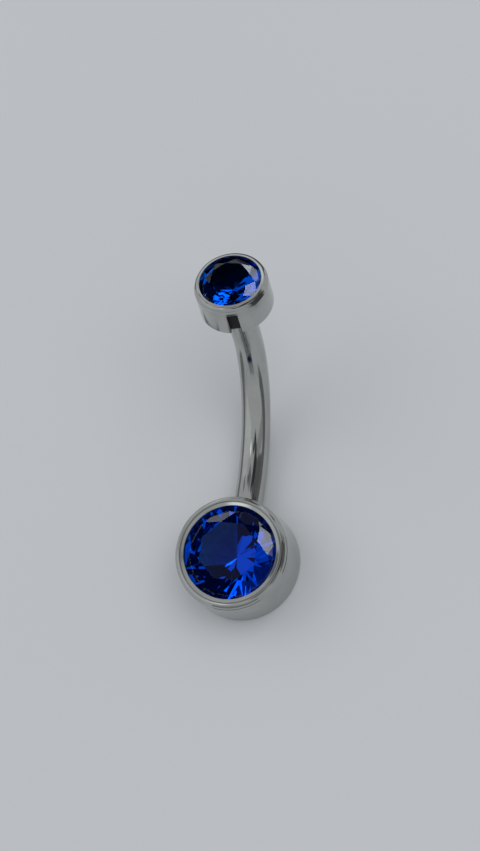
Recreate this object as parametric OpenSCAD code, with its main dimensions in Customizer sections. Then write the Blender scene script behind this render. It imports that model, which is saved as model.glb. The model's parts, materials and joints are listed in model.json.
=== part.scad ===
// Navel ring: a curved bar with two cups, each set with a round faceted stone.
// The larger cup is soldered by its side to the lower end of the bar. The smaller
// cup pushes into the bored upper end on a hidden post.
// The ring lies on its back: the lower cup's axis is +Z, the bar bends in the
// plane X = 0, and the origin is the middle of the lower cup's flat back.

/* [Bar] */
// Thickness of the bar, 14 gauge
bar_d = 1.6; // [1.2:0.1:2]
// Radius of the bend, to the middle of the bar
bend_r = 8; // [7:0.5:12]
// Angle through which the bar bends, in degrees
bend_turn = 76; // [60:1:90]
// Length of the straight end under the top cup
bar_end_l = 2.6; // [2.4:0.1:4]
// Height of the bar's middle line above the back of the lower cup, at the cup's axis
bar_root_h = 1.4; // [1.2:0.05:1.8]
// How far the bar runs into the wall of the lower cup
bar_root_in = 0.5; // [0.3:0.05:0.6]

/* [Lower stone] */
// Width of the lower stone
lower_stone_d = 5.5; // [5:0.1:7]
// Thickness of its girdle
lower_girdle_h = 0.1; // [0.05:0.01:0.2]
// Turn of its facets about its axis, in degrees
lower_stone_turn = 22.5; // [0:2.5:45]

/* [Lower cup] */
// Metal round the lower stone
lower_wall = 0.42; // [0.35:0.01:0.8]
// Metal left under the stone's point
lower_floor = 0.28; // [0.15:0.01:0.6]
// Radius of the round outer edge of the lip
lower_lip_r = 0.32; // [0.15:0.01:0.4]
// How far the lip reaches in over the edge of the stone
lower_lip_over = 0.13; // [0.05:0.01:0.2]
// How far the table of the stone stands above the lip
lower_table_rise = 0.3; // [0.1:0.05:0.5]

/* [Top stone] */
// Width of the top stone
top_stone_d = 3.6; // [3:0.1:4.5]
// Thickness of its girdle
top_girdle_h = 0.07; // [0.04:0.01:0.15]
// Turn of its facets about its axis, in degrees
top_stone_turn = 22.5; // [0:2.5:45]

/* [Top cup] */
// Metal round the top stone
top_wall = 0.22; // [0.18:0.01:0.6]
// Metal left under the stone's point
top_floor = 0.18; // [0.12:0.01:0.5]
// Radius of the round outer edge of the lip
top_lip_r = 0.3; // [0.12:0.01:0.35]
// How far the lip reaches in over the edge of the stone
top_lip_over = 0.09; // [0.04:0.01:0.15]
// How far the table of the stone stands above the lip
top_table_rise = 0.2; // [0.05:0.05:0.35]

/* [Edges of both cups] */
// Step from the wall in to the foot of the lip
lip_step = 0.05; // [0.02:0.01:0.1]
// Radius of the round edge of the back
back_edge_r = 0.1; // [0.05:0.01:0.2]

/* [Notch in the top cup] */
// Width of the notch
notch_w = 0.6; // [0.3:0.05:0.9]
// Metal left between the notch and the front of the lip
notch_below_lip = 0.55; // [0.45:0.05:1]
// Metal left between the notch and the stone's seat
notch_web = 0.1; // [0.06:0.01:0.2]
// Turn of the notch about the cup, from the side that faces the lower cup, in degrees
notch_turn = 13; // [-90:1:90]

/* [Post of the top cup] */
// Length of the post inside the bar
post_l = 2.2; // [1:0.1:2.3]
// Metal left round the bore in the bar
bore_wall = 0.25; // [0.2:0.01:0.35]

/* [Cut of both stones] */
// Width of the table, corner to corner, as a share of the stone's width
table_share = 0.62; // [0.53:0.01:0.68]
// Slope of the main crown facets, in degrees
crown_angle = 34.5; // [30:0.5:38]
// Slope of the main pavilion facets, in degrees
pavilion_angle = 40.8; // [39:0.2:43]
// Reach of the star facets from the table's edge to the girdle, as a share
star_share = 0.52; // [0.4:0.01:0.6]
// Reach of the lower girdle facets from the girdle to the point, as a share
lower_half_share = 0.77; // [0.6:0.01:0.85]

/* [Clearances] */
// Gap between a stone and its cup
stone_gap = 0.03; // [0.02:0.005:0.05]
// Gap between the post and its bore, all round
post_gap = 0.05; // [0.03:0.01:0.08]
// Gap between the top cup's back and the end of the bar
cup_gap = 0.02; // [0.01:0.01:0.1]
// Room past the end of the post
bore_spare = 0.2; // [0.1:0.05:0.4]

/* [Hidden] */
$fn = 96;
// A cut runs this far past the face that it opens
past = 1;
facets = 8;
half_step = 180 / facets;

// Heights and radii of a stone of width d, from the top of its girdle
function table_r(d) = table_share * d / 2;
function crown_h(d) = (d / 2 - table_r(d)) * tan(crown_angle);
function pavilion_h(d) = d / 2 * tan(pavilion_angle);
function table_flat_r(d) = table_r(d) * cos(half_step);
function star_r(d) = table_flat_r(d) + star_share * (d / 2 - table_flat_r(d));
function star_z(d) = (d / 2 - star_r(d) * cos(half_step)) * tan(crown_angle);
function low_r(d) = (1 - lower_half_share) * d / 2;
function low_z(d) = -(d / 2 - low_r(d) * cos(half_step)) * tan(pavilion_angle);
// Steepest slope of the pavilion, on its lower girdle facets
function low_slope(d) = -low_z(d) / (d / 2 - low_r(d));
// Steepest slope of the crown, on its upper girdle facets
function girdle_slope(d) = star_z(d) / (d / 2 - star_r(d));

// Outside of a cup round a stone of width d
function cup_r(d, wall) = d / 2 + stone_gap + wall;
// Height of the top of the girdle above the cup's back
function girdle_z(d, girdle_h, floor_h) = floor_h + stone_gap + pavilion_h(d) + girdle_h;
function cup_h(d, girdle_h, floor_h, rise) = girdle_z(d, girdle_h, floor_h) + crown_h(d) - rise;

// Seat of a stone: the groove round its girdle, and the foot of the groove above the cup's back
function seat_groove_r(d) = d / 2 + stone_gap;
function seat_groove_z(d, floor_h) = floor_h + pavilion_h(d) + stone_gap * low_slope(d);

lower_r = cup_r(lower_stone_d, lower_wall);
lower_h = cup_h(lower_stone_d, lower_girdle_h, lower_floor, lower_table_rise);
top_r = cup_r(top_stone_d, top_wall);
top_h = cup_h(top_stone_d, top_girdle_h, top_floor, top_table_rise);

// The bar leans back from the cup until the underside of its bend meets the plane of the cup's back
bar_r = bar_d / 2;
bend_reach = sqrt(lower_r * lower_r + bend_r * bend_r);
lean = atan2(bend_r, lower_r) + asin((bar_root_h - bar_r - bend_r) / bend_reach);
root_turn = bar_root_in / bend_r * 180 / PI;

bore_r = bar_r - bore_wall;
post_r = bore_r - post_gap;

// The notch's floor keeps its web clear of the seat at the notch's inner end
notch_l = top_h - notch_below_lip;
notch_seat_r = seat_groove_r(top_stone_d)
    - (seat_groove_z(top_stone_d, top_floor) - notch_l) / low_slope(top_stone_d);
notch_floor_r = notch_seat_r + notch_web;

// n points evenly round the axis, the first at angle turn
function ring(r, z, n, turn) = [
    for (i = [0 : n - 1]) [r * cos(turn + 360 * i / n), r * sin(turn + 360 * i / n), z]
];

// A round brilliant: table, 8 star, 8 kite and 16 upper girdle facets, the girdle,
// 16 lower girdle and 8 pavilion facets. Its girdle's top lies at z = 0.
module brilliant(d, girdle_h) {
    points = concat(
        ring(table_r(d), crown_h(d), facets, 0),
        ring(star_r(d), star_z(d), facets, half_step),
        ring(d / 2, 0, 2 * facets, 0),
        ring(d / 2, -girdle_h, 2 * facets, 0),
        ring(low_r(d), low_z(d) - girdle_h, facets, half_step),
        [[0, 0, -pavilion_h(d) - girdle_h]]
    );
    star = facets;
    top = 2 * facets;
    bottom = 4 * facets;
    low = 6 * facets;
    culet = 7 * facets;
    faces = concat(
        [[for (i = [facets - 1 : -1 : 0]) i]],
        [for (i = [0 : facets - 1]) [i, (i + 1) % facets, star + i]],
        [for (i = [0 : facets - 1]) [i, star + i, top + 2 * i, star + (i + facets - 1) % facets]],
        [for (i = [0 : facets - 1]) [star + i, top + 2 * i + 1, top + 2 * i]],
        [for (i = [0 : facets - 1]) [star + i, top + (2 * i + 2) % (2 * facets), top + 2 * i + 1]],
        [for (k = [0 : 2 * facets - 1])
            [bottom + k, top + k, top + (k + 1) % (2 * facets), bottom + (k + 1) % (2 * facets)]],
        [for (i = [0 : facets - 1]) [low + i, bottom + 2 * i, bottom + 2 * i + 1]],
        [for (i = [0 : facets - 1]) [low + i, bottom + 2 * i + 1, bottom + (2 * i + 2) % (2 * facets)]],
        [for (i = [0 : facets - 1]) [culet, low + (i + facets - 1) % facets, bottom + 2 * i, low + i]]
    );
    polyhedron(points = points, faces = faces);
}

// Outside of a cup, its back on z = 0: a wall with a round back edge, stepped in to a round lip
module cup_outside(r, h, lip_r) {
    lip_foot_r = r - lip_step;
    rotate_extrude() {
        square([r - back_edge_r, h - lip_r]);
        translate([0, back_edge_r])
            square([r, h - lip_r - back_edge_r]);
        translate([r - back_edge_r, back_edge_r])
            circle(back_edge_r);
        square([lip_foot_r - lip_r, h]);
        translate([lip_foot_r - lip_r, h - lip_r])
            intersection() {
                circle(lip_r);
                square(lip_r);
            }
    }
}

// Hollow for a stone of width d: two cones below, a groove for the girdle, the lip's underside and its opening
module seat(d, girdle_h, floor_h, h, lip_over) {
    groove_r = seat_groove_r(d);
    open_r = d / 2 - lip_over;
    groove_top = girdle_z(d, girdle_h, floor_h) + stone_gap;
    open_z = groove_top + (groove_r - open_r) * girdle_slope(d);
    rotate_extrude()
        polygon([
            [0, floor_h],
            [low_r(d), floor_h + pavilion_h(d) + low_z(d)],
            [groove_r, seat_groove_z(d, floor_h)],
            [groove_r, groove_top],
            [open_r, open_z],
            [open_r, h + past],
            [0, h + past]
        ]);
}

// Frame of the bar: X runs along its root from the cup's axis, Y points to the inside of the bend
module bar_frame() {
    translate([0, 0, bar_root_h])
        rotate([-lean, 0, 0])
            rotate([90, 0, 90])
                children();
}

// Frame of the bend's end: as the bar's frame, with its origin where the bend ends
module bend_end_frame() {
    bar_frame()
        translate([lower_r, bend_r, 0])
            rotate([0, 0, bend_turn])
                translate([0, -bend_r, 0])
                    children();
}

// Frame of the top cup: Z along the end of the bar from its tip, -Y on the side of the lower cup
module tip_frame() {
    bend_end_frame()
        translate([bar_end_l, 0, 0])
            rotate([0, 90, 0])
                rotate([0, 0, 180])
                    children();
}

// The bar: the bend, which starts inside the cup's wall, and the straight end
module bar() {
    bend_end_frame() {
        translate([0, bend_r, 0])
            rotate([0, 0, -90])
                rotate_extrude(angle = -bend_turn - root_turn)
                    translate([bend_r, 0])
                        circle(bar_r);
        rotate([0, 90, 0])
            cylinder(r = bar_r, h = bar_end_l);
    }
}

module bar_with_lower_cup() {
    color("silver")
        difference() {
            union() {
                cup_outside(lower_r, lower_h, lower_lip_r);
                bar();
            }
            seat(lower_stone_d, lower_girdle_h, lower_floor, lower_h, lower_lip_over);
            tip_frame()
                translate([0, 0, -post_l - bore_spare])
                    cylinder(r = bore_r, h = post_l + bore_spare + past);
        }
}

module lower_stone() {
    color("mediumblue")
        translate([0, 0, girdle_z(lower_stone_d, lower_girdle_h, lower_floor)])
            rotate([0, 0, lower_stone_turn])
                brilliant(lower_stone_d, lower_girdle_h);
}

// The notch, cut into the wall from the back
module notch() {
    rotate([0, 0, notch_turn])
        translate([-notch_w / 2, -top_r - past, -past])
            cube([notch_w, top_r + past - notch_floor_r, notch_l + past]);
}

module top_cup() {
    color("silver")
        tip_frame() {
            translate([0, 0, cup_gap])
                difference() {
                    cup_outside(top_r, top_h, top_lip_r);
                    seat(top_stone_d, top_girdle_h, top_floor, top_h, top_lip_over);
                    notch();
                }
            translate([0, 0, -post_l])
                cylinder(r = post_r, h = post_l + cup_gap);
        }
}

module top_stone() {
    color("mediumblue")
        tip_frame()
            translate([0, 0, cup_gap + girdle_z(top_stone_d, top_girdle_h, top_floor)])
                rotate([0, 0, top_stone_turn])
                    brilliant(top_stone_d, top_girdle_h);
}

bar_with_lower_cup();
lower_stone();
top_cup();
top_stone();
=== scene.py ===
"""Navel ring: a curved bar and two cups of polished titanium, set with deep blue cut stones.

The ring lies on its back. The origin is the middle of the lower cup's flat back, +Z is that cup's axis, and
the bar bends in the plane X = 0. Lengths are in metres and angles in degrees.
"""

import json
from math import asin, atan2, cos, hypot, pi, radians, sin, tan

import bmesh
import bpy
import numpy as np
from bpy.props import FloatProperty, FloatVectorProperty, PointerProperty
from mathutils import Matrix, Vector


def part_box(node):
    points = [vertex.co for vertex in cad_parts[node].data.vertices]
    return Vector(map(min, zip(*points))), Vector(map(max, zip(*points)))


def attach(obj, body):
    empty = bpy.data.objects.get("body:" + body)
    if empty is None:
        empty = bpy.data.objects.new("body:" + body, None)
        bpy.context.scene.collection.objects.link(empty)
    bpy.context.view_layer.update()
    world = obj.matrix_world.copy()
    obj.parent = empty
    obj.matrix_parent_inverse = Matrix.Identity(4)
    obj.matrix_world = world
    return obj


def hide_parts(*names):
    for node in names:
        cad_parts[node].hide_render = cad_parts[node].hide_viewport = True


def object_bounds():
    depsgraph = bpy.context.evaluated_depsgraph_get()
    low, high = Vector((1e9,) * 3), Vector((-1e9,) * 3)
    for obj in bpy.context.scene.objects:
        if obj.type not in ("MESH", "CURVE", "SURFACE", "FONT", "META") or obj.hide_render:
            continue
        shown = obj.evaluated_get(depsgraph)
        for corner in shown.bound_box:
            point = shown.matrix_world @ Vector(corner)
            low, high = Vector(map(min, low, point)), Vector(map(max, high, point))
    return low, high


bl_info = {
    "name": "Navel ring",
    "version": (1, 0, 0),
    "blender": (4, 5, 0),
    "location": "3D View > Sidebar > Navel ring",
    "description": "Turned titanium cups, a curved bar and cut stones on a packed frame",
    "category": "Object",
}

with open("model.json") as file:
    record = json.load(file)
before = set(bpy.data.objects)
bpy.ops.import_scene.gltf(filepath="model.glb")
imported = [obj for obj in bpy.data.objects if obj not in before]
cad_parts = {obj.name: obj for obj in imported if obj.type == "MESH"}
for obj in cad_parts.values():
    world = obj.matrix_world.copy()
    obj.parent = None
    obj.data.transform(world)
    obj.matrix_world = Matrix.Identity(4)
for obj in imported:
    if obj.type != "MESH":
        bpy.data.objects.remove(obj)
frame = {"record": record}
CAD_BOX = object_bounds()

MM = 0.001
FACETS = 8
# Points closer than this are one point
SAME = 0.0001 * MM
# A straight side of a profile keeps a point this close to both of its ends, unless it is short
HUG = 0.01 * MM
SHORT_SIDE = 4 * HUG
# Edges sharper than this, in degrees, are shaded sharp, and those of the notch are eased
SHARP_EDGE = 40.0
EASED_EDGE = 60.0
# Rounding of a cup's hidden corners, as a share of the lip's step
HIDDEN_CORNER = 0.3
# Least reach of the solder, close to the cup's back
LEAST_SOLDER = 0.02 * MM
# The rows of the bar's tip start this many edge radii before its end
TIP_REACH = 6
# Least share of an axis in the normal of a face that looks along it, or lies flat against it
LOOKS_ALONG = 0.99
LIES_FLAT = 0.99999


def node_reach(node):
    """How far a node reaches along X from the plane X = 0, in metres, to a hundredth of a millimetre."""
    return round(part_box(node)[1].x, 5)


def piercing_width():
    """Thickness of the bar in millimetres, from the frame's mount for the piercing."""
    mounts = {mount["name"]: mount for mount in frame["record"]["mounts"]}
    return 2 * mounts["piercing"]["dims"]["r_mm"]


def number_prop(name, description, value, **limits):
    return FloatProperty(name=name, description=description, default=value, min=0.0, **limits)


def length_prop(name, description, millimetres):
    return number_prop(name, description, millimetres * MM, precision=6, unit="LENGTH")


def share_prop(name, description, value):
    return number_prop(name, description, value, max=1.0, subtype="FACTOR")


def angle_prop(name, description, value):
    return FloatProperty(name=name, description=description + ", in degrees", default=value)


def colour_prop(name, description, value):
    return FloatVectorProperty(
        name=name, description=description, default=value, subtype="COLOR", min=0.0, max=1.0)


class BarSizes(bpy.types.PropertyGroup):
    """Sizes of the curved bar."""

    width: length_prop("Thickness", "Thickness of the bar", piercing_width())
    bend_r: length_prop("Bend radius", "Radius of the bend, to the middle of the bar", 8)
    bend_turn: angle_prop("Bend", "Angle through which the bar bends", 76.0)
    end_l: length_prop("Straight end", "Length of the straight end under the top cup", 2.6)
    root_h: length_prop("Root height", "Height of the bar's middle line at the lower cup's axis", 1.4)
    bore_wall: length_prop("Bore wall", "Metal left round the bore for the top cup's post", 0.25)
    bore_l: length_prop("Bore depth", "Depth of the bore", 2.4)
    tip_edge_r: length_prop("Tip edge", "Radius of the eased edge at the tip", 0.04)
    solder_r: length_prop("Solder fillet", "Reach of the solder along the bar and the wall", 0.16)
    root_in: length_prop("Root depth", "Depth of the bar's hidden end inside the cup's wall", 0.15)


class CupSizes(bpy.types.PropertyGroup):
    """Sizes of one cup, from its back up."""

    radius: length_prop("Radius", "Outside radius of the cup", 3.2)
    floor_h: length_prop("Floor", "Metal left under the stone's point", 0.28)
    lip_r: length_prop("Lip radius", "Radius of the round outer edge of the lip", 0.32)
    lip_over: length_prop("Lip reach", "How far the lip reaches in over the stone", 0.13)
    table_rise: length_prop("Table rise", "How far the stone's table stands above the lip", 0.3)
    lip_step: length_prop("Lip step", "Step from the wall in to the foot of the lip", 0.05)
    back_edge_r: length_prop("Back edge", "Radius of the round edge of the back", 0.1)
    inner_edge_r: length_prop("Inner edge", "Radius of the burnished inner edge of the lip", 0.04)
    lip_slope: angle_prop("Lip slope", "Fall of the lip's front towards the stone", 14.0)
    shoulder_r: length_prop("Shoulder", "Radius of the soft shoulder under the lip", 0.08)


class StoneSizes(bpy.types.PropertyGroup):
    """Sizes of one cut stone."""

    width: length_prop("Width", "Width of the stone", 5.5)
    girdle_h: length_prop("Girdle", "Thickness of the girdle", 0.1)
    turn: angle_prop("Turn", "Turn of the facets about the stone's axis", 22.5)
    table_share: share_prop("Table", "Width of the table, as a share of the stone's", 0.62)
    crown_angle: angle_prop("Crown", "Slope of the main crown facets", 34.5)
    pavilion_angle: angle_prop("Pavilion", "Slope of the main pavilion facets", 40.8)
    star_share: share_prop("Stars", "Reach of the star facets towards the girdle, as a share", 0.52)
    lower_half_share: share_prop("Lower halves", "Reach of the lower girdle facets, as a share", 0.77)


class FitSizes(bpy.types.PropertyGroup):
    """Clearances between the pieces, the post and the notch of the top cup."""

    stone_gap: length_prop("Stone gap", "Gap between a stone and its cup", 0.03)
    cup_gap: length_prop("Cup gap", "Gap between the top cup's back and the tip of the bar", 0.02)
    post_gap: length_prop("Post gap", "Gap between the post and its bore", 0.05)
    post_l: length_prop("Post", "Length of the post inside the bar", 2.2)
    notch_w: length_prop("Notch width", "Width of the notch", 0.6)
    notch_below_lip: length_prop("Below the lip", "Metal left over the notch", 0.55)
    notch_web: length_prop("Notch web", "Metal left between the notch and the seat", 0.1)
    notch_turn: angle_prop("Notch turn", "Turn of the notch from the lower cup's side", 13.0)
    notch_edge_r: length_prop("Notch edge", "Width of the eased edges of the notch", 0.015)


class Finishes(bpy.types.PropertyGroup):
    """Colours and finishes of the metal and the stones, with painted light and shade in the seats and
    painted shade in the notch.
    """

    metal: colour_prop("Metal", "Colour of the polished metal", (0.50, 0.505, 0.49))
    metal_worn: colour_prop("Worn metal", "Colour of the metal in its duller patches", (0.44, 0.445, 0.435))
    roughness: share_prop("Roughness", "Roughness of the polished metal", 0.07)
    line_h: length_prop("Line height", "Height of the fine polishing lines", 0.0006)
    # Painted shade: the notch's near-black colour stands in for the shade inside a deep hollow. It is not
    # the metal's own colour.
    recess_painted_shade: colour_prop("Recess", "Colour of the dark metal inside the notch", (0.02, 0.02, 0.022))
    stone: colour_prop("Stone", "Colour that the stone's surface lets through", (1.0, 1.0, 1.0))
    stone_depth: colour_prop("Stone depth", "Colour that the stone's body keeps", (0.0, 0.8, 0.985))
    lower_stone_density: number_prop("Lower stone density", "Strength of its body colour", 2000.0)
    top_stone_density: number_prop("Top stone density", "Strength of its body colour", 2600.0)
    stone_ior: number_prop("Refraction", "Index of refraction of the stones", 1.62)
    # Painted light: the lower seat is unpolished metal, and its near-white colour, brighter than the
    # polished metal, is light painted in to brighten what shows through the lower stone
    seat: colour_prop("Seat", "Colour of the unpolished metal under the lower stone", (0.95, 0.95, 1.0))
    # Painted shade: the top seat is the same metal painted near black, darker than the lower seat
    seat_painted_shade: colour_prop("Dark seat", "Colour of the metal under the top stone", (0.05, 0.05, 0.05))


class StageLook(bpy.types.PropertyGroup):
    """Camera, floor and light."""

    azimuth: angle_prop("Azimuth", "Camera's direction, from -Y towards +X", 54.93)
    elevation: angle_prop("Elevation", "Angle of the camera above the floor", 69.668)
    roll: angle_prop("Roll", "Turn of the camera about its own line of sight", -48.84)
    distance: length_prop("Distance", "Distance from the camera to the point it looks at", 300)
    target: FloatVectorProperty(
        name="Target", description="The point that the camera looks at", subtype="XYZ", unit="LENGTH",
        default=(0.0475 * MM, 6.8073 * MM, 4.6349 * MM))
    lens: number_prop("Lens", "Focal length in millimetres, for a sensor 36 mm long", 231.6)
    floor: colour_prop("Floor", "Colour of the floor", (0.68, 0.70, 0.725))
    room: colour_prop("Room", "Colour of the plain room light on the floor", (0.47, 0.48, 0.49))
    metal_dome: number_prop("Metal dome", "Brightness of the dome that the metal reflects", 0.52)
    depth_dome: number_prop("Depth dome", "Brightness of the dome seen through the stones", 0.02)


class Stone:
    """Heights and radii of a round brilliant from the top of its girdle, and of the seat cut for it."""

    def __init__(self, sizes, gap):
        half = radians(180 / FACETS)
        crown = tan(radians(sizes.crown_angle))
        pavilion = tan(radians(sizes.pavilion_angle))
        self.r = sizes.width / 2
        self.girdle_h = sizes.girdle_h
        self.turn = radians(sizes.turn)
        self.half = half
        self.table_r = sizes.table_share * self.r
        self.crown_h = (self.r - self.table_r) * crown
        self.pavilion_h = self.r * pavilion
        table_flat_r = self.table_r * cos(half)
        self.star_r = table_flat_r + sizes.star_share * (self.r - table_flat_r)
        self.star_z = (self.r - self.star_r * cos(half)) * crown
        self.low_r = (1 - sizes.lower_half_share) * self.r
        self.low_z = -(self.r - self.low_r * cos(half)) * pavilion
        self.gap = gap
        self.low_slope = -self.low_z / (self.r - self.low_r)
        self.girdle_slope = self.star_z / (self.r - self.star_r)


class Cup:
    """Heights of one cup above its back, with the stone's seat inside it."""

    def __init__(self, sizes, stone):
        self.sizes = sizes
        self.stone = stone
        self.r = sizes.radius
        self.girdle_z = sizes.floor_h + stone.gap + stone.pavilion_h + stone.girdle_h
        self.h = self.girdle_z + stone.crown_h - sizes.table_rise
        self.groove_r = stone.r + stone.gap
        self.groove_z = sizes.floor_h + stone.pavilion_h + stone.gap * stone.low_slope
        self.groove_top = self.girdle_z + stone.gap
        self.open_r = stone.r - sizes.lip_over
        self.open_z = self.groove_top + (self.groove_r - self.open_r) * stone.girdle_slope

    def front(self):
        """Profile corners (r, z, rounding) from the wall's top over the lip and down the seat to the axis.

        The lip's front falls towards the stone. Its outer corner lies above the lip where the line of that
        slope meets the line of the foot, so that the arc tangent to both just reaches the lip's height.
        The soft shoulder ends where that arc starts.
        """
        s = self.sizes
        foot_r = self.r - s.lip_step
        hidden_r = HIDDEN_CORNER * s.lip_step
        slope = radians(s.lip_slope)
        width = foot_r - self.open_r
        round_r = min(s.lip_r - s.shoulder_r / 2, (width - s.inner_edge_r) / (1 + sin(slope)))
        corner_z = self.h + round_r * (cos(slope) - 1 + (1 + sin(slope)) * tan(slope))
        shoulder_reach = s.shoulder_r * tan(atan2(s.lip_step, s.shoulder_r) / 2)
        foot_z = self.h - round_r - shoulder_reach
        return [
            (self.r, foot_z - s.shoulder_r, s.shoulder_r),
            (foot_r, foot_z, s.shoulder_r),
            (foot_r, corner_z, round_r),
            (self.open_r, corner_z - width * tan(slope), s.inner_edge_r),
            (self.open_r, self.open_z, hidden_r),
            (self.groove_r, self.groove_top, hidden_r),
            (self.groove_r, self.groove_z, hidden_r),
            (self.stone.low_r, s.floor_h + self.stone.pavilion_h + self.stone.low_z, hidden_r),
            (0.0, s.floor_h, 0.0),
        ]


class Bar:
    """Middle line of the bar: an arc that leaves the lower cup's wall leaning down, then a straight end."""

    def __init__(self, sizes, cup_r):
        self.sizes = sizes
        self.r = sizes.width / 2
        self.cup_r = cup_r
        self.turn = radians(sizes.bend_turn)
        reach = hypot(cup_r, sizes.bend_r)
        lean = atan2(sizes.bend_r, cup_r) + asin((sizes.root_h - self.r - sizes.bend_r) / reach)
        self.along = np.array([0.0, cos(lean), -sin(lean)])
        self.inside = np.array([0.0, sin(lean), cos(lean)])
        self.across = np.array([1.0, 0.0, 0.0])
        self.centre = np.array([0.0, 0.0, sizes.root_h]) + cup_r * self.along + sizes.bend_r * self.inside
        self.bend_l = sizes.bend_r * self.turn
        self.length = self.bend_l + sizes.end_l

    def line(self, s):
        """Points, directions and inside directions at lengths s from the bend's start, as arrays (..., 3).

        A point on the arc is the bend's centre plus bend_r times (sin of the turn so far along the root's
        direction, less its cosine along the inside). Past the arc it goes on straight.
        """
        s = np.asarray(s, float)
        turn = np.minimum(s / self.sizes.bend_r, self.turn)[..., None]
        past = np.maximum(s - self.bend_l, 0.0)[..., None]
        along = np.cos(turn) * self.along + np.sin(turn) * self.inside
        inside = np.cos(turn) * self.inside - np.sin(turn) * self.along
        return self.centre - self.sizes.bend_r * inside + past * along, along, inside

    def skin(self, s, r, a):
        """Points at length s, r from the middle line and angle a round it: a circle carried along."""
        point, _, inside = self.line(s)
        a = np.asarray(a)[..., None]
        return point + np.asarray(r)[..., None] * (np.cos(a) * inside + np.sin(a) * self.across)

    def tip(self):
        """The top cup's place as a 4 by 4 array: Z along the bar's end, -Y towards the lower cup."""
        point, along, inside = self.line(self.length)
        place = np.eye(4)
        place[:3] = np.stack([self.across, -inside, along, point], axis=1)
        return place


def rounded(corners, steps=7):
    """Profile through corners (a, b, radius), as an array of points.

    A corner with a radius becomes an arc tangent to both of its sides: it starts radius / tan(half of the
    corner's angle) before the corner, and its points are centre + radius * (cos t, sin t). A straight side
    keeps a point close to each of its ends, which holds its smooth shading flat.
    """
    points = np.array([corner[:2] for corner in corners], float)
    radii = [corner[2] for corner in corners]
    pieces = []
    for i, (point, radius) in enumerate(zip(points, radii)):
        if radius == 0.0 or i in (0, len(points) - 1):
            pieces.append(point[None])
            continue
        back = points[i - 1] - point
        ahead = points[i + 1] - point
        back /= np.linalg.norm(back)
        ahead /= np.linalg.norm(ahead)
        half = np.arccos(np.clip(back @ ahead, -1, 1)) / 2
        reach = radius / tan(half)
        middle = (back + ahead) / np.linalg.norm(back + ahead)
        centre = point + middle * radius / sin(half)
        first = point + back * reach - centre
        last = point + ahead * reach - centre
        start = atan2(first[1], first[0])
        sweep = (atan2(last[1], last[0]) - start + pi) % (2 * pi) - pi
        t = start + sweep * np.linspace(0, 1, steps)
        pieces.append(centre + radius * np.stack([np.cos(t), np.sin(t)], axis=1))
    profile = [pieces[0]]
    for piece in pieces[1:]:
        side = piece[0] - profile[-1][-1]
        length = np.linalg.norm(side)
        if length > SHORT_SIDE:
            hug = side / length * HUG
            profile.append(np.stack([profile[-1][-1] + hug, piece[0] - hug]))
        profile.append(piece)
    profile = np.concatenate(profile)
    keep = np.append(True, np.linalg.norm(np.diff(profile, axis=0), axis=1) > SAME)
    return profile[keep]


def path_length(profile):
    """Length along a profile at each of its points."""
    steps = np.linalg.norm(np.diff(profile, axis=0), axis=1)
    return np.append(0.0, np.cumsum(steps))


def grid_faces(rows, columns):
    """Faces of a grid that closes round its columns, with a pole before the first row and after the last.

    Point (i, j) has number i * columns + j. The poles are the two numbers that follow the grid's.
    """
    index = np.arange(rows * columns).reshape(rows, columns)
    after = np.roll(index, -1, axis=1)
    quads = np.stack([index[:-1], after[:-1], after[1:], index[1:]], axis=-1).reshape(-1, 4)
    first = np.full(columns, rows * columns)
    first_fan = np.stack([first, after[0], index[0]], axis=-1)
    last_fan = np.stack([first + 1, index[-1], after[-1]], axis=-1)
    return quads.tolist() + first_fan.tolist() + last_fan.tolist()


def plain_mesh(name, points, faces):
    """A mesh from points (count, 3) and its faces' lists of point numbers."""
    mesh = bpy.data.meshes.new(name)
    mesh.from_pydata(np.asarray(points, float).tolist(), [], faces)
    return mesh


def close_outward(mesh):
    """Merges the points that are one point and turns every face outwards."""
    work = bmesh.new()
    work.from_mesh(mesh)
    bmesh.ops.remove_doubles(work, verts=work.verts, dist=SAME)
    bmesh.ops.recalc_face_normals(work, faces=work.faces)
    if work.calc_volume(signed=True) < 0:
        bmesh.ops.reverse_faces(work, faces=work.faces)
    work.to_mesh(mesh)
    work.free()


def add_object(name, data, materials=()):
    """Links a finished mesh, a light or a camera at the origin, with its materials."""
    piece = bpy.data.objects.new(name, data)
    bpy.context.scene.collection.objects.link(piece)
    for material in materials:
        data.materials.append(material)
    return piece


def shell(name, grid, poles, turning, materials):
    """A closed, smooth piece from a grid (rows, columns, 3) and its two poles.

    turning is the grid (rows, columns, 3) that the metal's fine lines follow: the cosine and sine of the
    angle round the piece, and the length along it in millimetres.
    """
    rows, columns, _ = grid.shape
    points = np.concatenate([grid.reshape(-1, 3), np.asarray(poles, float)])
    ends = np.stack([turning[0].mean(axis=0), turning[-1].mean(axis=0)])
    marks = np.concatenate([turning.reshape(-1, 3), ends])
    mesh = plain_mesh(name, points, grid_faces(rows, columns))
    lines = mesh.attributes.new("turning", "FLOAT_VECTOR", "POINT")
    lines.data.foreach_set("vector", marks.ravel().astype(np.float32))
    close_outward(mesh)
    mesh.shade_smooth()
    mesh.set_sharp_from_angle(angle=radians(SHARP_EDGE))
    return add_object(name, mesh, materials)


def spin(turn):
    """A turn about Z as a 3 by 3 array."""
    return np.array([[cos(turn), -sin(turn), 0.0], [sin(turn), cos(turn), 0.0], [0.0, 0.0, 1.0]])


def carry(place, points):
    """Points in a local frame, given as an array (..., 3), carried by a 4 by 4 place."""
    return points @ place[:3, :3].T + place[:3, 3]


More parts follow.
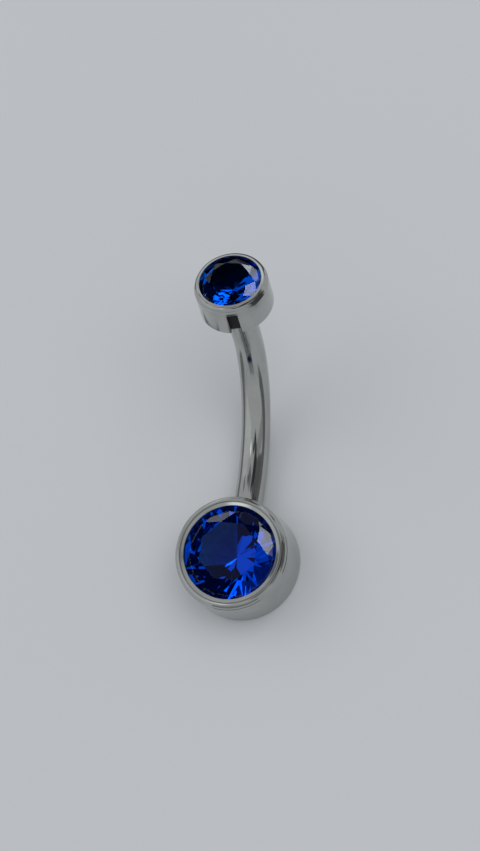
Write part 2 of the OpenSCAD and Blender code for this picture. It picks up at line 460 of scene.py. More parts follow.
def turned(profile, angles):
    """Grid of a profile (r, z) turned about Z, and the grid that its fine lines follow.

    Point (i, j) is (r_i * sin a, -r_i * cos a, z_i), where a is angles[i, j], from -Y towards +X.
    """
    r = profile[:, 0, None]
    z = np.broadcast_to(profile[:, 1, None], angles.shape)
    grid = np.stack([r * np.sin(angles), -r * np.cos(angles), z], axis=-1)
    length = np.broadcast_to(path_length(profile)[:, None] / MM, angles.shape)
    return grid, np.stack([np.sin(angles), -np.cos(angles), length], axis=-1)


def lower_cup_piece(cup, materials):
    """The lower cup: its profile, from the back's middle round to the seat's point, turned about Z."""
    columns = 288
    corners = [(0.0, 0.0, 0.0), (cup.r, 0.0, cup.sizes.back_edge_r), *cup.front()]
    profile = rounded(corners)
    angles = np.broadcast_to(np.arange(columns) * 2 * pi / columns, (len(profile) - 2, columns))
    grid, turning = turned(profile[1:-1], angles)
    poles = [(0.0, 0.0, 0.0), (0.0, 0.0, cup.sizes.floor_h)]
    piece = shell("lower_cup", grid, poles, turning, materials)
    # The seat's faces take the unpolished finish with its painted light
    finish_faces(piece, np.eye(4), seat_faces(cup, 0.0), 1)
    return piece


def wall_length(bar, a, rounds=20):
    """Length along the bar, for each angle a round it, at which its skin meets the lower cup's wall.

    The distance of the skin from the cup's axis is followed back to the wall by Newton's rule, with the
    bar's direction away from the axis as its slope.
    """
    s = np.zeros_like(a)
    for _ in range(rounds):
        point = bar.skin(s, bar.r, a)
        _, along, _ = bar.line(s)
        distance = np.hypot(point[:, 0], point[:, 1])
        slope = (point[:, :2] * along[:, :2]).sum(axis=1) / distance
        s = s - (distance - bar.cup_r) / slope
    return s


def solder_rows(bar, cup, a, steps=9):
    """Rows of the solder fillet, from the cup's wall to the bar, and the lengths where they end on the bar.

    Each column is a quadratic curve whose middle control point is where the bar's skin meets the wall. It
    starts on the wall, as far from there as it ends along the bar, and shrinks near the cup's back edge.
    """
    meet_s = wall_length(bar, a)
    meet = bar.skin(meet_s, bar.r, a)
    room = np.maximum(meet[:, 2] - cup.sizes.back_edge_r, 0.0)
    reach = np.clip(room, LEAST_SOLDER, bar.sizes.solder_r)
    normal = meet * [1, 1, 0] / bar.cup_r
    centre, _, _ = bar.line(meet_s)
    out = meet - centre
    out -= (out * normal).sum(axis=1)[:, None] * normal
    out /= np.linalg.norm(out, axis=1)[:, None]
    foot = meet + reach[:, None] * out
    foot[:, :2] *= bar.cup_r / np.hypot(foot[:, 0], foot[:, 1])[:, None]
    foot[:, 2] = np.maximum(foot[:, 2], meet[:, 2].min())
    end_s = meet_s + reach
    end = bar.skin(end_s, bar.r, a)
    t = np.linspace(0, 1, steps)[:, None, None]
    rows = (1 - t) ** 2 * foot + 2 * t * (1 - t) * meet + t ** 2 * end
    hidden = foot.copy()
    hidden[:, :2] *= 1 - bar.sizes.root_in / bar.cup_r
    return np.concatenate([hidden[None], rows]), end_s


def bar_piece(bar, cup, materials):
    """The curved bar: solder rows, a circle carried along the middle line, and the bored tip."""
    columns = 96
    rows = 190
    sizes = bar.sizes
    a = np.arange(columns) * 2 * pi / columns
    solder, start_s = solder_rows(bar, cup, a)
    bore_r = bar.r - sizes.bore_wall
    tip_s = bar.length
    bore_s = tip_s - sizes.bore_l
    edge_r = sizes.tip_edge_r
    tip_corners = [
        (bar.r, tip_s - TIP_REACH * edge_r, 0.0),
        (bar.r, tip_s, edge_r),
        (bore_r, tip_s, edge_r / 2),
        (bore_r, bore_s, edge_r),
        (0.0, bore_s, 0.0),
    ]
    tip = rounded(tip_corners)[:-1]
    share = np.linspace(0, 1, rows)[1:-1, None]
    tube_s = start_s + share * (tip[0, 1] - start_s)
    tube = bar.skin(tube_s, bar.r, np.broadcast_to(a, tube_s.shape))
    end_s = np.broadcast_to(tip[:, 1, None], (len(tip), columns))
    end = bar.skin(end_s, tip[:, 0, None], np.broadcast_to(a, end_s.shape))
    grid = np.concatenate([solder, tube, end])
    solder_s = np.linspace(-1, 0, len(solder))[:, None] * sizes.solder_r + start_s
    length = np.concatenate([solder_s, tube_s, end_s]) / MM
    angle = np.broadcast_to(a, length.shape)
    turning = np.stack([np.sin(angle), np.cos(angle), length], axis=-1)
    poles = [solder[0].mean(axis=0), bar.skin(bore_s, 0.0, 0.0)]
    return shell("curved_bar", grid, poles, turning, materials)


def top_cup_piece(cup, fit, bar, materials):
    """The top cup with its post and notch: a profile turned about Z, its columns closer at the notch.

    Across the notch each column keeps one distance from the notch's middle plane. Between the back and
    the notch's top those columns are pushed in to its flat floor, and their heights follow the length along
    the profile. The columns at the notch's sides are there twice, on the wall and on the floor.
    """
    notch_columns = 13
    other_columns = 276
    back_z = fit.cup_gap
    top_z = back_z + cup.h - fit.notch_below_lip
    seat_r = cup.groove_r - (cup.groove_z - (top_z - back_z)) / cup.stone.low_slope
    floor_r = seat_r + fit.notch_web
    half_w = fit.notch_w / 2
    corner_r = hypot(floor_r, half_w)
    post_r = bar.r - bar.sizes.bore_wall - fit.post_gap
    post_end_r = 2 * cup.sizes.lip_step
    post_root_r = cup.sizes.lip_step / 2
    corners = [
        (0.0, -fit.post_l, 0.0),
        (post_r, -fit.post_l, post_end_r),
        (post_r, back_z, post_root_r),
        (corner_r, back_z, 0.0),
        (cup.r, back_z, cup.sizes.back_edge_r),
        (cup.r, top_z, 0.0),
        *[(r, z + back_z, rounding) for r, z, rounding in cup.front()],
    ]
    profile = rounded(corners)
    foot = np.hypot(profile[:, 0] - corner_r, profile[:, 1] - back_z).argmin()
    head = np.hypot(profile[:, 0] - cup.r, profile[:, 1] - top_z).argmin()
    # The close rows beside the notch's foot and top go, which leaves room for its eased edges, and the row
    # at its top is there twice
    profile = np.delete(profile, [foot - 1, foot + 1, head - 1, head + 1], axis=0)
    foot -= 1
    head -= 3
    profile = np.insert(profile, head, profile[head], axis=0)
    side_r = np.clip(profile[:, 0], corner_r, cup.r)
    side_r[head:] = cup.r
    x = np.linspace(-half_w, half_w, notch_columns)
    across = np.arcsin(x / side_r[:, None])
    across[:foot] = np.arctan2(x, floor_r)
    side = np.arcsin(half_w / side_r)[:, None]
    around = side + (2 * pi - 2 * side) * np.linspace(0, 1, other_columns)
    angles = np.concatenate([across, around], axis=1)[1:-1]
    grid, turning = turned(profile[1:-1], angles)
    length = path_length(profile)[foot:head + 1]
    climb = (length - length[0]) / (length[-1] - length[0])
    z = back_z + (top_z - back_z) * climb[:, None]
    grid[foot - 1:head, :notch_columns] = np.stack(np.broadcast_arrays(x, -floor_r, z), axis=-1)
    turn = spin(radians(fit.notch_turn))
    place = bar.tip()
    poles = np.array([(0.0, 0.0, -fit.post_l), (0.0, 0.0, back_z + cup.sizes.floor_h)])
    piece = shell("top_cup_with_post", carry(place, grid @ turn.T), carry(place, poles), turning, materials)
    # The seat's faces take the near-black painted shade
    finish_faces(piece, place, seat_faces(cup, back_z), 1)
    # The notch's faces take the near-black painted shade
    finish_faces(piece, place, notch_faces(turn, floor_r, half_w, top_z), 2)
    ease = piece.modifiers.new("eased notch", "BEVEL")
    ease.limit_method = "ANGLE"
    ease.angle_limit = radians(EASED_EDGE)
    ease.width = fit.notch_edge_r
    ease.segments = 2
    ease.harden_normals = True
    return piece


def finish_faces(piece, place, chosen, index):
    """Gives material number index to the faces that chosen picks by their middles and normals."""
    faces = piece.data.polygons
    middles = np.zeros((len(faces), 3))
    normals = np.zeros((len(faces), 3))
    numbers = np.zeros(len(faces), np.int32)
    faces.foreach_get("center", middles.ravel())
    faces.foreach_get("normal", normals.ravel())
    faces.foreach_get("material_index", numbers)
    middles = (middles - place[:3, 3]) @ place[:3, :3]
    numbers[chosen(middles, normals @ place[:3, :3])] = index
    faces.foreach_set("material_index", numbers)


def seat_faces(cup, back_z):
    """Picks the faces of a cup's seat, which lie under the lip's opening and inside the groove."""
    def chosen(middles, normals):
        r = np.hypot(middles[:, 0], middles[:, 1])
        z = middles[:, 2] - back_z
        return (r < cup.groove_r + SAME) & (z > cup.sizes.floor_h / 2) & (z < cup.open_z + SAME)
    return chosen


def notch_faces(turn, floor_r, half_w, top_z):
    """Picks the notch's floor, sides and top."""
    def chosen(middles, normals):
        x, y, z = (middles @ turn).T
        nx, ny, nz = (normals @ turn).T
        inside = (abs(x) < half_w + SAME) & (y < -floor_r + SAME) & (z > 0) & (z < top_z + SAME)
        return inside & ((abs(nx) > LOOKS_ALONG) | (nz < -LOOKS_ALONG) | (ny < -LIES_FLAT))
    return chosen


def ring(r, z, count, turn=0.0):
    """count points evenly round the axis: (r cos t, r sin t, z), the first at angle turn."""
    t = turn + np.arange(count) * 2 * pi / count
    return np.stack([r * np.cos(t), r * np.sin(t), np.full(count, z)], axis=1)


def stone_piece(name, stone, girdle_z, place, material):
    """A round brilliant whose girdle's top lies at girdle_z in a place.

    Rings of points at the table, the stars, the girdle's edges and the low corners, and the point under
    them, are joined by 1 table, 8 star, 8 kite, 16 upper and 16 lower girdle facets, 16 girdle walls and 8
    pavilion facets.
    """
    n = FACETS
    rings = [
        ring(stone.table_r, stone.crown_h, n),
        ring(stone.star_r, stone.star_z, n, stone.half),
        ring(stone.r, 0.0, 2 * n),
        ring(stone.r, -stone.girdle_h, 2 * n),
        ring(stone.low_r, stone.low_z - stone.girdle_h, n, stone.half),
        np.array([[0.0, 0.0, -stone.pavilion_h - stone.girdle_h]]),
    ]
    points = np.concatenate(rings)
    points[:, 2] += girdle_z
    points = carry(place, points @ spin(stone.turn).T)
    i = np.arange(n)
    k = np.arange(2 * n)
    star, top, bottom, low, point = n, 2 * n, 4 * n, 6 * n, 7 * n
    after, before = (i + 1) % n, (i - 1) % n
    even, odd, next_even = 2 * i, 2 * i + 1, (2 * i + 2) % (2 * n)
    next_k = (k + 1) % (2 * n)
    faces = [i.tolist()]
    for corners in (
        (i, star + i, after),
        (i, star + before, top + even, star + i),
        (star + i, top + even, top + odd),
        (star + i, top + odd, top + next_even),
        (bottom + k, bottom + next_k, top + next_k, top + k),
        (low + i, bottom + odd, bottom + even),
        (low + i, bottom + next_even, bottom + odd),
        (np.full(n, point), low + i, bottom + even, low + before),
    ):
        faces += np.stack(corners, axis=1).tolist()
    mesh = plain_mesh(name, points, faces)
    close_outward(mesh)
    mesh.shade_flat()
    return add_object(name, mesh, [material])


class Value:
    """A number socket of a material. Python arithmetic on it adds Math nodes."""

    def __init__(self, finish, socket):
        self.finish = finish
        self.socket = socket

    def math(self, operation, other):
        return self.finish.node("ShaderNodeMath", {"operation": operation}, {0: self, 1: other})

    def __add__(self, other):
        return self.math("ADD", other)

    def __mul__(self, other):
        return self.math("MULTIPLY", other)

    __radd__ = __add__
    __rmul__ = __mul__


class Finish:
    """The node tree of one material."""

    def __init__(self, name):
        self.material = bpy.data.materials.new(name)
        self.material.use_nodes = True
        self.tree = self.material.node_tree
        self.tree.nodes.clear()
        self.output = self.tree.nodes.new("ShaderNodeOutputMaterial")

    def node(self, kind, settings, inputs, out=0):
        """Adds a node of a kind with its settings, sets or links its inputs, and returns one output."""
        made = self.tree.nodes.new(kind)
        for name, setting in settings.items():
            setattr(made, name, setting)
        for name, value in inputs.items():
            self.feed(made.inputs[name], value)
        return Value(self, made.outputs[out])

    def feed(self, socket, value):
        if isinstance(value, Value):
            self.tree.links.new(value.socket, socket)
        else:
            socket.default_value = value

    def blend(self, share, first, second):
        """A colour between two colours, by a share."""
        return self.node("ShaderNodeMix", {"data_type": "RGBA"}, {0: share, 6: first, 7: second}, out=2)

    def spread(self, value, low, high):
        """A value stretched so that low becomes 0 and high becomes 1, and held between them."""
        return self.node("ShaderNodeMapRange", {"clamp": True}, {0: value, 1: low, 2: high})

    def scaled(self, vector, scale):
        """A vector with each of its numbers multiplied by scale's."""
        return self.node("ShaderNodeVectorMath", {"operation": "MULTIPLY"}, {0: vector, 1: scale})

    def place(self):
        """Object coordinates."""
        return self.node("ShaderNodeTexCoord", {}, {}, "Object")

    def noise(self, vector, scale, detail, roughness):
        inputs = {"Vector": vector, "Scale": scale, "Detail": detail, "Roughness": roughness}
        return self.node("ShaderNodeTexNoise", {}, inputs)

    def surface(self, **inputs):
        """Ends the material in one Principled BSDF. Each name is a socket's, with _ for a space."""
        named = {name.replace("_", " "): value for name, value in inputs.items()}
        shader = self.node("ShaderNodeBsdfPrincipled", {}, named)
        self.feed(self.output.inputs["Surface"], shader)
        return self.material


def opaque(colour, share=1.0):
    """A colour, or a share of its brightness, with nothing of it see-through."""
    return (*[share * part for part in colour], 1.0)


# Noise: scale, detail and roughness. A scale counts for each metre, or in the lines and wipe marks for each
# unit of the stretched turning attribute.
CLOUDS = (700.0, 3.0, 0.5)
LINES = (1.0, 3.0, 0.6)
WIPES = (0.6, 2.0, 0.5)
# The part of the noise that shows, from none of it to all of it
CLOUD_SPREAD = (0.35, 0.7)
WIPE_SPREAD = (0.55, 0.8)
# What the clouds, the lines and the wipe marks add to the roughness
CLOUD_DULL = 0.05
LINE_DULL = 0.05
WIPE_DULL = 0.04
# A wipe mark is this many times as wide as a fine line
WIPE_WIDTH = 9
# Stretch of the lines' noise round a piece and along it
LOWER_CUP_LINES = (1.5, 34.0)
TOP_CUP_LINES = (1.5, 40.0)
BAR_LINES = (14.0, 0.8)
# Dull finishes: shades are shares of the colour, and uneven is what the grain adds to the roughness
SEAT = dict(grain=(6000.0, 2.0, 0.5), shades=(0.8, 1.0), metallic=0.4, roughness=0.6, uneven=0.15)
# Painted shade inside the notch: a near-black dull finish in place of the shade of a deep hollow
RECESS_PAINTED_SHADE = dict(grain=(9000.0, 3.0, 0.5), shades=(1.0, 2.5), metallic=0.6, roughness=0.45, uneven=0.3)
FLOOR = dict(grain=(25.0, 2.0, 0.5), shades=(0.97, 1.0), metallic=0.0, roughness=0.8, uneven=0.0)
GLOW_COLOUR = (0.94, 0.98, 1.0)


def titanium(look, name, stretch):
    """Polished titanium: duller clouds, fine polishing lines and a few soft wipe marks.

    The lines are noise on the turning attribute, stretched round and along the piece, so they run round the
    cups and lengthwise down the bar.
    """
    finish = Finish(name)
    around, along = stretch
    turning = finish.node("ShaderNodeAttribute", {"attribute_name": "turning"}, {}, "Vector")
    clouds = finish.spread(finish.noise(finish.place(), *CLOUDS), *CLOUD_SPREAD)
    lines = finish.noise(finish.scaled(turning, (around, around, along)), *LINES)
    wide = finish.scaled(turning, (around, around, along / WIPE_WIDTH))
    wipes = finish.spread(finish.noise(wide, *WIPES), *WIPE_SPREAD)
    colour = finish.blend(clouds, opaque(look.metal), opaque(look.metal_worn))
    roughness = look.roughness + clouds * CLOUD_DULL + lines * LINE_DULL + wipes * WIPE_DULL
    bump = finish.node("ShaderNodeBump", {}, {"Strength": 1.0, "Distance": look.line_h, "Height": lines})
    return finish.surface(Base_Color=colour, Metallic=1.0, Roughness=roughness, Normal=bump)


def dull(name, colour, grain, shades, metallic, roughness, uneven):
    """A dull finish of faint shades, for unpolished metal, the matt floor, the seats' painted light and
    shade, and the notch's painted shade.
    """
    finish = Finish(name)
    grain = finish.noise(finish.place(), *grain)
    colour = finish.blend(grain, *[opaque(colour, shade) for shade in shades])
    if uneven:
        roughness = roughness + grain * uneven
    return finish.surface(Base_Color=colour, Metallic=metallic, Roughness=roughness)


def blue_stone(look, name, density):
    """A clear cut stone whose body keeps all but blue, so that its colour deepens with the light's path."""
    finish = Finish(name)
    inputs = {"Color": opaque(look.stone_depth), "Density": density}
    finish.feed(finish.output.inputs["Volume"], finish.node("ShaderNodeVolumeAbsorption", {}, inputs))
    return finish.surface(
        Base_Color=opaque(look.stone), Roughness=0.0, IOR=look.stone_ior, Transmission_Weight=1.0)


def glow(name, strength):
    """A plain, slightly cool white glow."""
    finish = Finish(name)
    inputs = {"Color": opaque(GLOW_COLOUR), "Strength": strength}
    finish.feed(finish.output.inputs["Surface"], finish.node("ShaderNodeEmission", {}, inputs))
    return finish.material


def toward(azimuth, elevation):
    """Unit vector at an azimuth from -Y towards +X and an elevation above the floor, in degrees."""
    a, e = radians(azimuth), radians(elevation)
    return Vector((sin(a) * cos(e), -cos(a) * cos(e), sin(e)))


def sideways(azimuth):
    """Unit vector level with the floor, to the right of one who looks at the ring from an azimuth."""
    return Vector((cos(radians(azimuth)), sin(radians(azimuth)), 0.0))


METAL_PIECES = ("lower_cup", "curved_bar", "top_cup_with_post")
STONE_PIECES = ("lower_cut_stone", "top_cut_stone")
ALL_PIECES = METAL_PIECES + STONE_PIECES
FLOOR_REACH = 4.0
FLOOR_GAP = 2 * SAME
# Cards: name, azimuth, elevation, width and height in degrees as the ring sees them, and brightness. Each
# is a step farther away than the one before it, but each shared card is a step nearer. The metal reflects
# the metal cards, the facets the glint cards, and both the shared cards. The depth cards are seen through
# the stones.
METAL_CARDS = (
    ("dark_back", 130.0, 67.0, 12.0, 12.0, 0.05),
    ("dark_middle", 96.0, 66.0, 24.0, 22.0, 0.04),
    ("dark_front", 45.0, 64.0, 26.0, 13.0, 0.07),
    ("dark_tip", 17.0, 73.0, 12.0, 8.0, 0.07),
    ("grey_right", 103.0, 36.0, 34.0, 52.0, 0.13),
    ("grey_front", 70.0, 34.0, 18.0, 46.0, 0.34),
    ("bright_front", 310.0, 66.0, 10.0, 10.0, 1.3),
    ("bright_back", 180.0, 23.0, 24.0, 12.0, 1.05),
    ("dark_small_a", 197.0, 40.0, 8.0, 7.0, 0.06),
    ("dark_small_b", 208.0, 27.0, 9.0, 4.0, 0.1),
    ("dark_small_c", 233.0, 31.0, 9.0, 6.0, 0.1),
    ("dark_small_d", 250.0, 45.0, 12.0, 7.0, 0.12),
    ("grey_over", 210.0, 80.0, 22.0, 15.0, 0.2),
    ("pale_back", 196.0, 18.0, 86.0, 34.0, 0.74),
    ("pale_left", 288.0, 34.0, 50.0, 50.0, 0.65),
)
GLINT_CARDS = (
    ("key", 127.5, 34.0, 15.0, 15.0, 3.8),
    ("key_low", 116.0, 19.0, 8.0, 6.0, 1.1),
    ("back", 179.0, 5.0, 8.0, 6.0, 5.0),
)
SHARED_CARDS = (
    ("left", 213.8, 5.0, 8.0, 8.0, 1.2),
    ("left_grey", 226.0, 9.0, 6.0, 6.0, 0.4),
    ("over", 238.1, 70.4, 9.0, 9.0, 0.12),
)
DEPTH_CARDS = (
    ("flash", 124.0, 49.5, 8.0, 5.0, 3.0),
    ("key", 126.0, 39.0, 24.0, 14.0, 2.2),
    ("key_over", 139.0, 50.0, 12.0, 10.0, 1.6),
    ("dark_small_a", 344.5, 68.8, 4.6, 6.5, 0.02),
    ("dark_small_b", 234.5, 77.6, 5.0, 5.0, 0.02),
    ("dark_small_c", 166.0, 82.5, 8.0, 11.0, 0.02),
    ("dark_small_d", 252.5, 64.9, 4.5, 3.4, 0.02),
    ("dark_small_e", 3.0, 84.0, 5.0, 5.0, 0.02),
    ("dark_small_f", 315.0, 77.7, 4.0, 4.0, 0.02),
    ("dark_small_g", 277.5, 68.6, 5.0, 5.0, 0.02),
    ("dark_small_h", 225.0, 65.0, 6.0, 5.0, 0.02),
    ("dark_small_i", 6.0, 63.0, 3.5, 3.5, 0.02),
    ("dark_right", 84.0, 66.0, 44.0, 36.0, 0.02),
    ("front", 350.0, 55.0, 22.0, 26.0, 0.42),
    ("over", 270.0, 72.0, 100.0, 60.0, 0.6),
    ("back", 170.0, 7.0, 20.0, 8.0, 5.0),
)
# Upright flags close to the ring: name, middle of the foot, width and height in millimetres, the azimuth
# that the flag faces, and brightness. The metal reflects the metal flags and the facets the glint flags.
METAL_FLAGS = (
    ("right_back", (6.0, 11.5, 5.5), 5.0, 6.5, 270.0, 0.07),
    ("right", (12.0, 3.0, 0.0), 11.0, 4.6, 270.0, 0.16),
    ("left", (-7.0, 7.0, 0.0), 8.0, 2.4, 90.0, 0.2),
    ("left_back", (-6.0, 17.0, 7.4), 6.0, 2.4, 90.0, 0.2),
    ("front", (1.0, -8.0, 0.0), 9.0, 6.0, 180.0, 0.28),
)
GLINT_FLAGS = (
    ("back", (11.2, 36.3, 6.0), 7.0, 5.0, 336.0, 2.2),
    ("dark", (-1.5, 18.5, 5.5), 10.0, 3.3, 0.0, 0.1),
)
CARD_DISTANCE = 0.6
CARD_STEP = 0.01
DOME_DISTANCE = 0.95
# Elevation of the dome's highest row of points, in radians
DOME_TOP_ROW = 0.47 * pi
# Soft lights: name, azimuth, elevation, distance, width and power
SOFTBOXES = (
    ("soft_light_over", 120.0, 62.0, 0.7, 0.5, 1.2),
    ("soft_light_left", 250.0, 45.0, 0.7, 0.5, 0.7),
)
SENSOR_WIDTH = 36.0
CLIP_START = 0.01
CLIP_END = 20.0


def quad_mesh(name, middle, across, up):
    """One flat face, from its middle and its half width and half height as vectors."""
    corners = [middle + across * a + up * b for a, b in ((-1, -1), (1, -1), (1, 1), (-1, 1))]
    return plain_mesh(name, corners, [(0, 1, 2, 3)])


def stage_floor(look):
    """One wide, flat, matt face under the ring, with very faint clouds."""
    middle = Vector((0.0, 0.0, CAD_BOX[0].z - FLOOR_GAP))
    mesh = quad_mesh("floor", middle, Vector((FLOOR_REACH, 0.0, 0.0)), Vector((0.0, FLOOR_REACH, 0.0)))
    floor = add_object("floor", mesh, [dull("pale_floor", look.floor, **FLOOR)])


def shine_on(name, mesh, brightness, pieces, through=False):
    """Stages an even glow that shines on the named pieces alone, off their surfaces or through them."""
    glowing = add_object(name, mesh, [glow(name, brightness)])
    group = bpy.data.collections.new(name + "_lights")
    for piece in pieces:
        group.objects.link(bpy.data.objects[piece])
    glowing.light_linking.receiver_collection = group
    glowing.visible_camera = False
    glowing.visible_diffuse = False
    glowing.visible_shadow = False
    glowing.visible_glossy = not through
    glowing.visible_transmission = through


def stage_cards(kind, cards, pieces, through=False, first=0, step=1):
    """Flat cards that face the ring.

    The first stands first card steps beyond the cards' distance, and each of the others step more.
    """
    for i, (card, azimuth, elevation, width, height, brightness) in enumerate(cards):
        distance = CARD_DISTANCE + (first + i * step) * CARD_STEP
        direction = toward(azimuth, elevation)
        across = sideways(azimuth)
        half_w = distance * tan(radians(width / 2))
        half_h = distance * tan(radians(height / 2))
        name = kind + card
        mesh = quad_mesh(name, direction * distance, across * half_w, direction.cross(across) * half_h)
        shine_on(name, mesh, brightness, pieces, through)


def stage_flags(kind, flags, pieces):
    """Upright flags close to the ring."""
    for flag, foot, width, height, azimuth, brightness in flags:
        rise = Vector((0.0, 0.0, height * MM)) / 2
        across = sideways(azimuth) * width * MM / 2
        name = kind + flag
        shine_on(name, quad_mesh(name, Vector(foot) * MM + rise, across, rise), brightness, pieces)


def stage_dome(name, brightness, pieces, through=False, rows=12, columns=48):
    """Half a ball round the ring, closed by a cone under the floor."""
    rise = np.linspace(0.0, DOME_TOP_ROW, rows)[:, None]
    turn = np.linspace(0.0, 2 * pi, columns, endpoint=False)
    out = np.cos(rise)
    grid = np.stack(np.broadcast_arrays(out * np.cos(turn), out * np.sin(turn), np.sin(rise)), 2)
    points = DOME_DISTANCE * np.concatenate([grid.reshape(-1, 3), [(0.0, 0.0, -1.0), (0.0, 0.0, 1.0)]])
    shine_on(name, plain_mesh(name, points, grid_faces(rows, columns)), brightness, pieces, through)


def stage_softbox(name, azimuth, elevation, distance, width, power):
    """A square soft light aimed at the ring, kept out of reflections."""
    light = bpy.data.lights.new(name, "AREA")
    light.size = width
    light.energy = power
    lamp = add_object(name, light)
    direction = toward(azimuth, elevation)
    lamp.location = direction * distance
    lamp.rotation_euler = direction.to_track_quat("Z", "Y").to_euler()
    lamp.visible_camera = False
    lamp.visible_glossy = False
    lamp.visible_transmission = False


def stage_room(look):
    """The plain room light."""
    world = bpy.data.worlds.new("room")
    world.use_nodes = True
    background = world.node_tree.nodes["Background"]
    background.inputs["Color"].default_value = opaque(look.room)
    bpy.context.scene.world = world


def stage_camera(look):
    """The camera at the photograph's viewing angle, turned about its own line of sight."""
    data = bpy.data.cameras.new("camera")
    data.lens = look.lens
    data.sensor_width = SENSOR_WIDTH
    data.clip_start = CLIP_START
    data.clip_end = CLIP_END
    camera = add_object("camera", data)
    back = toward(look.azimuth, look.elevation)
    level = sideways(look.azimuth)
    rise = back.cross(level)
    roll = radians(look.roll)
    right = level * cos(roll) + rise * sin(roll)
    up = rise * cos(roll) - level * sin(roll)
    turn = Matrix((right, up, back)).transposed()
    camera.matrix_world = Matrix.Translation(Vector(look.target) + back * look.distance) @ turn.to_4x4()
    bpy.context.scene.camera = camera


def ring_form():
    """Both cups with their stones, the bar and the clearances, from the scene's sizes."""
    scene = bpy.context.scene
    fit = scene.navel_ring_fit
    lower = Cup(scene.navel_ring_lower_cup, Stone(scene.navel_ring_lower_stone, fit.stone_gap))
    top = Cup(scene.navel_ring_top_cup, Stone(scene.navel_ring_top_stone, fit.stone_gap))
    return lower, top, Bar(scene.navel_ring_bar, lower.r), fit


class RING_OT_lower_cup_and_bar(bpy.types.Operator):
    """Add the lower cup and the curved bar that is soldered to it"""

    bl_idname = "navel_ring.lower_cup_and_bar"
    bl_label = "Lower cup and bar"

    def execute(self, context):
        look = context.scene.navel_ring_finishes
        lower, _, bar, _ = ring_form()
        pieces = [
            lower_cup_piece(lower, [
                titanium(look, "turned_titanium", LOWER_CUP_LINES),
                # The lower seat: unpolished metal, with painted light in its near-white colour
                dull("rough_seat_painted_light", look.seat, **SEAT),
            ]),
            bar_piece(bar, lower, [titanium(look, "drawn_titanium", BAR_LINES)]),
        ]
        for piece in pieces:
            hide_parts("bar_with_lower_cup")
            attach(piece, "root")
        return {"FINISHED"}


class RING_OT_top_cup(bpy.types.Operator):
    """Add the top cup with its hidden post and its notch"""

    bl_idname = "navel_ring.top_cup"
    bl_label = "Top cup"

    def execute(self, context):
        look = context.scene.navel_ring_finishes
        _, top, bar, fit = ring_form()
        materials = [
            titanium(look, "turned_titanium_small", TOP_CUP_LINES),
            # The top seat: unpolished metal, painted near black as shade
            dull("painted_shade_seat", look.seat_painted_shade, **SEAT),
            # Painted shade: the notch's faces are near black, for the shade inside the hollow
            dull("painted_shade_recess", look.recess_painted_shade, **RECESS_PAINTED_SHADE),
        ]
        piece = top_cup_piece(top, fit, bar, materials)
        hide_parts("top_cup")
        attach(piece, "root")
        return {"FINISHED"}


class RING_OT_stones(bpy.types.Operator):
    """Add the two cut stones"""

    bl_idname = "navel_ring.stones"
    bl_label = "Stones"

    def execute(self, context):
        look = context.scene.navel_ring_finishes
        lower, top, bar, fit = ring_form()
        deep = blue_stone(look, "blue_stone", look.lower_stone_density)
        deeper = blue_stone(look, "blue_stone_small", look.top_stone_density)
        large = stone_piece("lower_cut_stone", lower.stone, lower.girdle_z, np.eye(4), deep)
        small = stone_piece("top_cut_stone", top.stone, fit.cup_gap + top.girdle_z, bar.tip(), deeper)
        for piece, node in ((large, "lower_stone"), (small, "top_stone")):
            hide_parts(node)
            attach(piece, "root")
        return {"FINISHED"}


class RING_OT_stage(bpy.types.Operator):
    """Add the floor, the cards, the soft lights and the camera"""

    bl_idname = "navel_ring.stage"
    bl_label = "Stage"

    def execute(self, context):
        look = context.scene.navel_ring_stage
        stage_floor(look)
        stage_dome("metal_dome", look.metal_dome, METAL_PIECES)
        stage_dome("depth_dome", look.depth_dome, ALL_PIECES, through=True)
        stage_cards("metal_", METAL_CARDS, METAL_PIECES)
        stage_flags("flag_", METAL_FLAGS, METAL_PIECES)
        stage_flags("glint_flag_", GLINT_FLAGS, STONE_PIECES)
        stage_cards("glint_", GLINT_CARDS, STONE_PIECES)
        stage_cards("shared_", SHARED_CARDS, ALL_PIECES, first=-1, step=-1)
        stage_cards("depth_", DEPTH_CARDS, ALL_PIECES, through=True)
        for softbox in SOFTBOXES:
            stage_softbox(*softbox)
        stage_room(look)
        stage_camera(look)
        context.scene.view_settings.view_transform = "Standard"
        return {"FINISHED"}


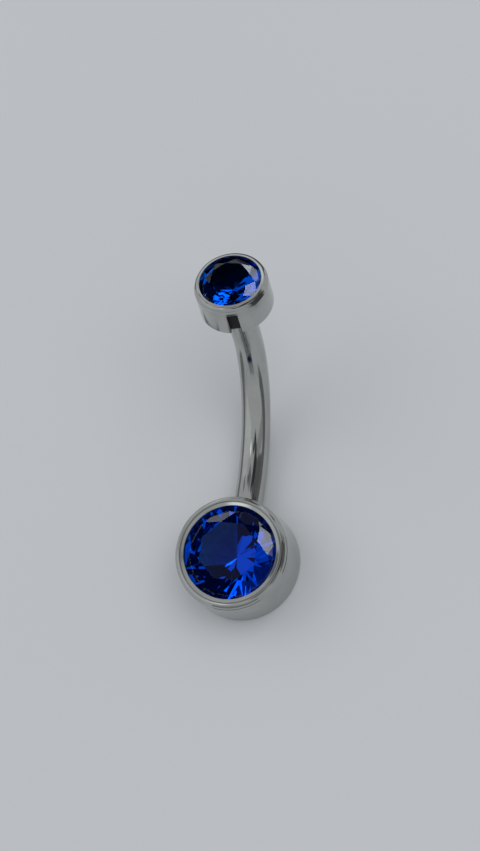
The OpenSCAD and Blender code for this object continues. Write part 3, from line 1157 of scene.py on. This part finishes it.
class RING_PT_panel(bpy.types.Panel):
    """Lists the pieces of the ring and the stage"""

    bl_idname = "RING_PT_panel"
    bl_label = "Navel ring"
    bl_space_type = "VIEW_3D"
    bl_region_type = "UI"
    bl_category = "Navel ring"

    def draw(self, context):
        for operator in OPERATORS:
            self.layout.operator(operator.bl_idname)
        for name, (group, label) in SCENE_GROUPS.items():
            box = self.layout.box()
            box.label(text=label)
            for prop in group.__annotations__:
                box.prop(getattr(context.scene, name), prop)


OPERATORS = (RING_OT_lower_cup_and_bar, RING_OT_top_cup, RING_OT_stones, RING_OT_stage)
SCENE_GROUPS = {
    "navel_ring_bar": (BarSizes, "Bar"),
    "navel_ring_lower_cup": (CupSizes, "Lower cup"),
    "navel_ring_top_cup": (CupSizes, "Top cup"),
    "navel_ring_lower_stone": (StoneSizes, "Lower stone"),
    "navel_ring_top_stone": (StoneSizes, "Top stone"),
    "navel_ring_fit": (FitSizes, "Clearances and notch"),
    "navel_ring_finishes": (Finishes, "Finishes"),
    "navel_ring_stage": (StageLook, "Stage"),
}
GROUPS = (BarSizes, CupSizes, StoneSizes, FitSizes, Finishes, StageLook)
CLASSES = (*GROUPS, *OPERATORS, RING_PT_panel)


def register():
    for cls in CLASSES:
        bpy.utils.register_class(cls)
    for name, (group, label) in SCENE_GROUPS.items():
        setattr(bpy.types.Scene, name, PointerProperty(type=group, name=label))


def unregister():
    for name in SCENE_GROUPS:
        delattr(bpy.types.Scene, name)
    for cls in reversed(CLASSES):
        bpy.utils.unregister_class(cls)


def set_own_sizes(scene):
    """The top cup's and top stone's own sizes, and both cups' and stones' widths from the frame."""
    scene.navel_ring_lower_cup.radius = node_reach("bar_with_lower_cup")
    scene.navel_ring_lower_stone.width = 2 * node_reach("lower_stone")
    cup = scene.navel_ring_top_cup
    cup.radius = node_reach("top_cup")
    cup.floor_h = 0.18 * MM
    cup.lip_r = 0.3 * MM
    cup.lip_over = 0.09 * MM
    cup.table_rise = 0.2 * MM
    cup.inner_edge_r = 0.02 * MM
    cup.lip_slope = 4.0
    stone = scene.navel_ring_top_stone
    stone.width = 2 * node_reach("top_stone")
    stone.girdle_h = 0.07 * MM


def main():
    register()
    set_own_sizes(bpy.context.scene)
    bpy.ops.navel_ring.lower_cup_and_bar()
    bpy.ops.navel_ring.top_cup()
    bpy.ops.navel_ring.stones()
    bpy.ops.navel_ring.stage()


if __name__ == "__main__":
    main()
